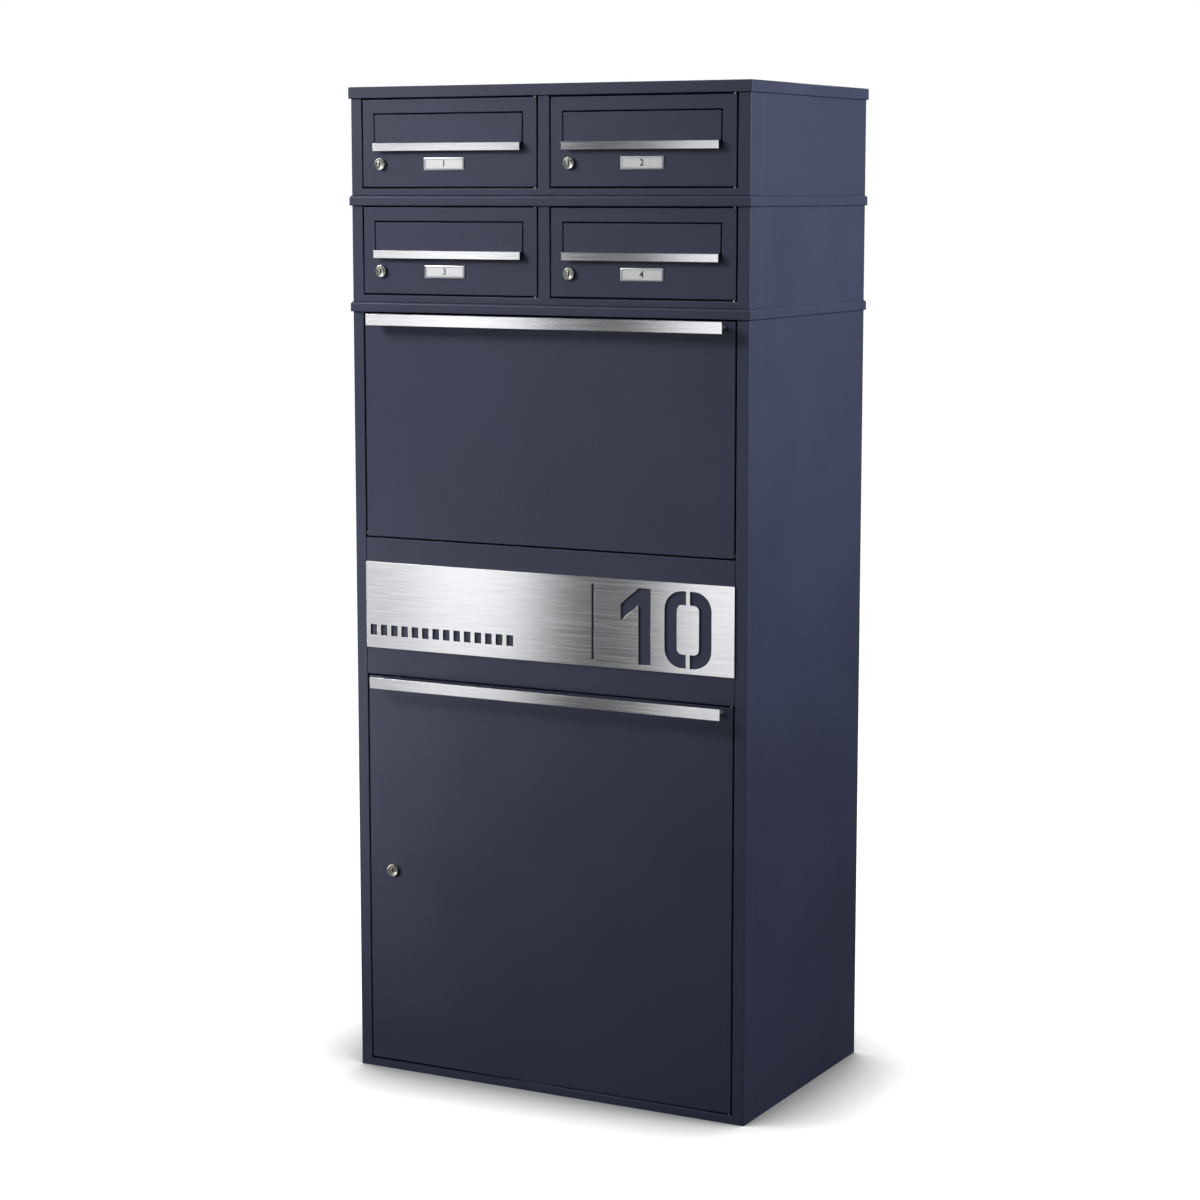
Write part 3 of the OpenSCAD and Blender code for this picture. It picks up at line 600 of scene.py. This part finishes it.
def turnedTree(name, parts):
    # Geometry Nodes: turned solids on one axis, copied to each point and turned by its "turn" attribute.
    # parts are (label, sides, rings); every ring brings two inputs, its height and its radius.
    tree = bpy.data.node_groups.new(name, "GeometryNodeTree")
    tree.interface.new_socket("Points", in_out="INPUT", socket_type="NodeSocketGeometry")
    tree.interface.new_socket("Pieces", in_out="OUTPUT", socket_type="NodeSocketGeometry")
    for label, sides, rings in parts:
        for k in range(rings):
            for size in ("height", "radius"):
                tree.interface.new_socket(f"{label} {k} {size}", in_out="INPUT",
                                          socket_type="NodeSocketFloat")
    tree.interface.new_socket("finish", in_out="INPUT", socket_type="NodeSocketMaterial")
    given = addNode(tree, "NodeGroupInput")
    position = addNode(tree, "GeometryNodeInputPosition").outputs[0]
    solids = addNode(tree, "GeometryNodeJoinGeometry")
    for label, sides, rings in parts:
        profile = addNode(tree, "GeometryNodeJoinGeometry")
        for k in range(rings):
            place = addNode(tree, "ShaderNodeCombineXYZ", {"Z": given.outputs[f"{label} {k} height"]})
            ring = addNode(tree, "GeometryNodePoints", {
                "Count": 1, "Position": place.outputs[0], "Radius": given.outputs[f"{label} {k} radius"]})
            tree.links.new(ring.outputs[0], profile.inputs[0])
        heightOf = addNode(tree, "ShaderNodeSeparateXYZ", {0: position})
        axis = addNode(tree, "GeometryNodePointsToCurves", {
            0: profile.outputs[0], "Weight": heightOf.outputs["Z"]})
        circle = addNode(tree, "GeometryNodeCurvePrimitiveCircle", {"Resolution": sides, "Radius": 1.0})
        ringRadius = addNode(tree, "GeometryNodeInputRadius").outputs[0]
        turned = addNode(tree, "GeometryNodeCurveToMesh", {
            "Curve": axis.outputs[0], "Profile Curve": circle.outputs[0],
            "Scale": ringRadius, "Fill Caps": True})
        tree.links.new(turned.outputs[0], solids.inputs[0])
    turn = addNode(tree, "GeometryNodeInputNamedAttribute", {"Name": "turn"}, data_type="FLOAT_VECTOR")
    rotation = addNode(tree, "FunctionNodeEulerToRotation", {0: turn.outputs["Attribute"]})
    copies = addNode(tree, "GeometryNodeInstanceOnPoints", {
        "Points": given.outputs["Points"], "Instance": solids.outputs[0], "Rotation": rotation.outputs[0]})
    real = addNode(tree, "GeometryNodeRealizeInstances", {"Geometry": copies.outputs[0]})
    coloured = addNode(tree, "GeometryNodeSetMaterial", {
        "Geometry": real.outputs[0], "Material": given.outputs["finish"]})
    addNode(tree, "NodeGroupOutput", {0: coloured.outputs[0]})
    return tree


def placeTurned(name, solids, places, finish):
    # solids: {label: (sides, [(height, radius), ...])} in mm; places: (point in mm, turn in degrees)
    tree = turnedTree(name + "Tree", [(label, sides, len(rings)) for label, (sides, rings) in solids.items()])
    points = bpy.data.meshes.new(name)
    points.from_pydata([[c * mm for c in point] for point, turn in places], [], [])
    turns = points.attributes.new("turn", "FLOAT_VECTOR", "POINT")
    for k, (point, turn) in enumerate(places):
        turns.data[k].vector = [math.radians(a) for a in turn]
    piece = bpy.data.objects.new(name, points)
    bpy.context.scene.collection.objects.link(piece)
    modifier = piece.modifiers.new("turned", "NODES")
    modifier.node_group = tree
    sizes = {f"{label} {k} {size}": value * mm for label, (sides, rings) in solids.items()
             for k, ring in enumerate(rings) for size, value in zip(("height", "radius"), ring)}
    for socket in tree.interface.items_tree:
        if socket.name in sizes:
            modifier[socket.identifier] = sizes[socket.name]
        elif socket.name == "finish":
            modifier[socket.identifier] = finish
    evaluated = piece.evaluated_get(bpy.context.evaluated_depsgraph_get())
    mesh = bpy.data.meshes.new_from_object(evaluated)
    piece.modifiers.clear()
    piece.data = mesh
    bpy.data.meshes.remove(points)
    mesh.name = name
    work = bmesh.new()
    work.from_mesh(mesh)
    shade(work)
    work.to_mesh(mesh)
    work.free()
    return piece


# Bolts that join the modules: hexagon head on a flange, shank and nut
boltSet = {
    "flange": (24, [(0.02, 5.0), (0.5, 4.95), (0.7, 4.7)]),
    "head": (6, [(0.66, 4.45), (2.6, 4.5), (3.0, 3.9)]),
    "shank": (16, [(-9.5, 1.9), (-8.9, 2.5), (0.3, 2.5)]),
    "nut": (6, [(-8.5, 3.9), (-8.1, 4.5), (-4.92, 4.5)]),
}
headReach = 4.5  # from a bolt's axis to the corner of its head
casingSheet = 1.5
boltLow, boltHigh = [millimetres(corner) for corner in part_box("module_bolts")]
boltX, boltYs = boltHigh[0] - headReach, (boltLow[1] + headReach, boltHigh[1] - headReach)
deckTops = [millimetres(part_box(f"row_casing_{n}")[0])[2] + casingSheet for n in (1, 2)]
boltPlaces = [((side * boltX, y, z), (0, 0, 0)) for side in (-1, 1) for y in boltYs for z in deckTops]
finishPiece(placeTurned("moduleBolts", boltSet, boltPlaces, zincPlate),
            "cabinet", zincPlate, slotOf["module_bolts"], "module_bolts")
capNutHigh = 4
capNutSet = {"nut": (6, [(0, 3.9), (0.4, 4.5), (3.6, 4.5)]), "collar": (24, [(3.55, 3.3), (3.98, 3.2)])}
capNutPlaces = [((side * boltX, y, boltHigh[2] - capNutHigh), (0, 0, 0)) for side in (-1, 1) for y in boltYs]
finishPiece(placeTurned("capWeldNuts", capNutSet, capNutPlaces, zincPlate),
            "cabinet", zincPlate, slotOf["module_bolts"], "module_bolts")

# Hinge pins: a low round head behind the frame's return, a shank with a broken end in the door's block
pinSet = {"pin": (20, [(0, 2.0), (0.35, 2.4), (1.45, 2.4), (1.48, 2.0), (14.0, 2.0), (14.5, 1.5)])}
pinPlace = {"fromSide": 4.5, "fromFront": 4.0, "beyondDoor": 5.5}  # measured from the door's corner


def doorPins(doorNode):
    low, high = [millimetres(corner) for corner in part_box(doorNode)]
    axisX, axisY = high[0] - pinPlace["fromSide"], low[1] + pinPlace["fromFront"]
    below, above = low[2] - pinPlace["beyondDoor"], high[2] + pinPlace["beyondDoor"]
    return [((axisX, axisY, below), (0, 0, 0)), ((axisX, axisY, above), (180, 0, 0))]


letterPins = [place for i in doorNumbers for place in doorPins(f"letter_door_{i}")]
finishPiece(placeTurned("letterHingePins", pinSet, letterPins, zincPlate),
            "cabinet", zincPlate, slotOf["letter_hinge_pins"], "letter_hinge_pins")
finishPiece(placeTurned("parcelHingePins", pinSet, doorPins("parcel_door"), zincPlate),
            "cabinet", zincPlate, slotOf["parcel_hinge_pins"], "parcel_hinge_pins")
pivotLow, pivotHigh = [millimetres(corner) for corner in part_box("flap_pivot_pins")]
pivotY, pivotZ = (pivotLow[1] + pivotHigh[1]) / 2, (pivotLow[2] + pivotHigh[2]) / 2
pivotPlaces = [((pivotHigh[0], pivotY, pivotZ), (0, -90, 0)), ((pivotLow[0], pivotY, pivotZ), (0, 90, 0))]
finishPiece(placeTurned("flapPivotPins", pinSet, pivotPlaces, zincPlate),
            "cabinet", zincPlate, slotOf["flap_pivot_pins"], "flap_pivot_pins")

# Rods that the letter flaps turn on, with chamfered ends and a groove for the retaining clip
rodEnd = [(0, 1.1), (0.4, 1.5), (0.8, 1.5), (0.82, 1.2), (1.1, 1.2), (1.12, 1.5)]
for i in doorNumbers:
    low, high = [millimetres(corner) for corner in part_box(f"flap_rod_{i}")]
    length = high[0] - low[0]
    rodSet = {"rod": (20, rodEnd + [(length - x, radius) for x, radius in reversed(rodEnd)])}
    start = (low[0], (low[1] + high[1]) / 2, (low[2] + high[2]) / 2)
    finishPiece(placeTurned(f"flapRod{i}", rodSet, [(start, (0, 90, 0))], zincPlate),
                bodyOf(f"flap_rod_{i}"), zincPlate, slotOf[f"flap_rod_{i}"], f"flap_rod_{i}")

# Door buffers: a small flange with a domed cushion on it
bufferRadius = 3.5
bufferShape = {"buffer": (24, [(0.02, bufferRadius), (0.4, 3.4), (0.47, 2.9), (1.0, 2.7), (1.25, 2.3),
                               (1.42, 1.6), (1.49, 0.7)])}
padLow, padHigh = [millimetres(corner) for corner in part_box("parcel_door_buffers")]
padY = (padLow[1] + padHigh[1]) / 2
doorLow, doorHigh = [millimetres(corner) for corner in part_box("parcel_door")]
padLeft, padRight = padLow[0] + bufferRadius, padHigh[0] - bufferRadius
bufferPlaces = [((padLeft, padY, doorHigh[2]), (0, 0, 0)), ((padLeft, padY, doorLow[2]), (180, 0, 0)),
                ((padRight, padY, doorLow[2]), (180, 0, 0))]
finishPiece(placeTurned("doorBuffers", bufferShape, bufferPlaces, bufferRubber),
            "parcel_door", bufferRubber, slotOf["parcel_door_buffers"], "parcel_door_buffers")

# Washers under the bars' spacers
washerSet = {"washer": (28, [(0.02, 5.2), (0.2, 5.4), (0.9, 5.4), (1.15, 5.0)])}
spacerFromEnd = 8
for node in ("parcel_door_handle", "parcel_flap_handle"):
    low, high = [millimetres(corner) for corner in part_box(node)]
    middleZ, spacerXs = (low[2] + high[2]) / 2, (high[0] - spacerFromEnd, high[0] / 3)
    washerPlaces = [((side * x, high[1], middleZ), (90, 0, 0)) for x in spacerXs for side in (-1, 1)]
    finishPiece(placeTurned(f"{node}_washers", washerSet, washerPlaces, brushedStainless),
                bodyOf(node), brushedStainless, slotOf[node])
print("fasteners placed")


studioSet = {
    "floorSize": 80,
    "floor": "#9c9c9c",
    "floorPatch": "#989898",
    "patchMm": 400,
    "floorGlow": 0.97,  # an even glow that lifts the floor to the white of the backdrop; near the base it is cut by ambient occlusion, which paints the contact shadow
    "farGlow": 1.0,
    "glowFrom": 0.9,  # the glow goes from one to the other between these distances, metres
    "glowTo": 2.2,
    "contact": 0.22,  # how far the painted contact shadow reaches, metres
    "floorBounce": "#464646",
    "sky": "#e6ecf8",
    "skyStrength": 0.11,
}
# soft boxes: place, what they aim at, width, height, spread in degrees, power; metres and watts
lightSet = {
    "keyLeft": ((-1.75, -1.35, 2.3), (-0.12, -0.2, 1.3), 0.9, 0.8, 84, 15.5),
    "doorLeft": ((-1.25, -0.8, 0.45), (-0.33, -0.2, 0.42), 0.35, 0.5, 90, 2.9),
    "sideRight": ((2.4, 0.1, 1.95), (0.35, 0, 1.35), 0.9, 0.9, 105, 31),
    "top": ((0.2, -0.4, 3.6), (0, 0, 1.6), 1.6, 1.2, 180, 18),
    "behind": ((-1.2, 3.0, 2.6), (0, 0.2, 0.9), 1.8, 1.6, 180, 40),
    "frontFill": ((1.5, -6.0, 1.6), (0.3, -0.2, 0.9), 5.0, 3.4, 180, 32),
    "stripLeft": ((-2.25, -3.0, 0.85), (-0.4, -0.23, 1.1), 0.55, 1.8, 60, 0.5),
    "stripBright": ((-1.74, -3.0, 0.85), (-0.1, -0.23, 1.1), 0.32, 1.8, 60, 0.56),
    "stripRight": ((-0.96, -3.0, 0.85), (0.31, -0.23, 1.1), 0.36, 1.8, 60, 0.6),
}


def makeFloor():
    material, tree, shader = newMaterial("paleFloor")
    point = objectPoint(tree)
    mottle = remap(tree, noise(tree, point, studioSet["patchMm"], 2), 0.3, 0.7, 0, 1)
    tree.links.new(blendColour(tree, mottle, toLinear(studioSet["floor"]), toLinear(studioSet["floorPatch"])),
                   shader.inputs["Base Color"])
    shader.inputs["Roughness"].default_value = 0.9
    shader.inputs["Specular IOR Level"].default_value = 0.1
    shader.inputs["Emission Color"].default_value = (1, 1, 1, 1)
    away = addNode(tree, "ShaderNodeVectorMath", {0: point}, operation="LENGTH").outputs["Value"]
    glow = remap(tree, away, studioSet["glowFrom"], studioSet["glowTo"],
                 studioSet["floorGlow"], studioSet["farGlow"])
    # painted shadow: the floor's glow is cut wherever ambient occlusion finds the unit close by, which paints
    # a dark band round the base
    occlusionForPaintedShadow = addNode(tree, "ShaderNodeAmbientOcclusion", {"Distance": studioSet["contact"]}, samples=16)
    clear = remap(tree, occlusionForPaintedShadow.outputs["AO"], 0.5, 0.98, 0, 1)
    glowWithPaintedShadow = addNode(tree, "ShaderNodeMath", {0: glow, 1: clear}, operation="MULTIPLY")
    tree.links.new(glowWithPaintedShadow.outputs[0], shader.inputs["Emission Strength"])
    bounce = addNode(tree, "ShaderNodeBsdfDiffuse", {"Color": toLinear(studioSet["floorBounce"])})
    seen = addNode(tree, "ShaderNodeLightPath").outputs["Is Camera Ray"]
    mixed = addNode(tree, "ShaderNodeMixShader", {0: seen, 1: bounce.outputs[0], 2: shader.outputs[0]})
    output = next(item for item in tree.nodes if item.type == "OUTPUT_MATERIAL")
    tree.links.new(mixed.outputs[0], output.inputs["Surface"])
    mesh = bpy.data.meshes.new("floor")
    half = studioSet["floorSize"] / 2
    corners = [(-half, -half, 0), (half, -half, 0), (half, half, 0), (-half, half, 0)]
    mesh.from_pydata(corners, [], [(0, 1, 2, 3)])
    floor = bpy.data.objects.new("floor", mesh)
    floor.data.materials.append(material)
    bpy.context.scene.collection.objects.link(floor)


def makeSky():
    # white where the camera looks past the unit, a dim sky for everything that it lights
    world = bpy.data.worlds.new("studioWorld")
    world.use_nodes = True
    sky = world.node_tree
    sky.nodes.clear()
    around = addNode(sky, "ShaderNodeBackground", {
        "Color": toLinear(studioSet["sky"]), "Strength": studioSet["skyStrength"]})
    white = addNode(sky, "ShaderNodeBackground", {"Color": (1, 1, 1, 1), "Strength": 1.0})
    looked = addNode(sky, "ShaderNodeLightPath").outputs["Is Camera Ray"]
    both = addNode(sky, "ShaderNodeMixShader", {0: looked, 1: around.outputs[0], 2: white.outputs[0]})
    addNode(sky, "ShaderNodeOutputWorld", {"Surface": both.outputs[0]})
    bpy.context.scene.world = world


def softBox(name, place, aim, width, height, spreadDeg, power):
    data = bpy.data.lights.new(name, "AREA")
    data.shape = "RECTANGLE"
    data.size, data.size_y = width, height
    data.spread = math.radians(spreadDeg)
    data.energy = power
    light = bpy.data.objects.new(name, data)
    light.location = place
    light.rotation_euler = (Vector(aim) - Vector(place)).to_track_quat("-Z", "Y").to_euler()
    light.visible_camera = False
    bpy.context.scene.collection.objects.link(light)


makeFloor()
makeSky()
for name, sizes in lightSet.items():
    softBox(name, *sizes)
bpy.context.scene.view_settings.view_transform = "Standard"
print("studio ready")
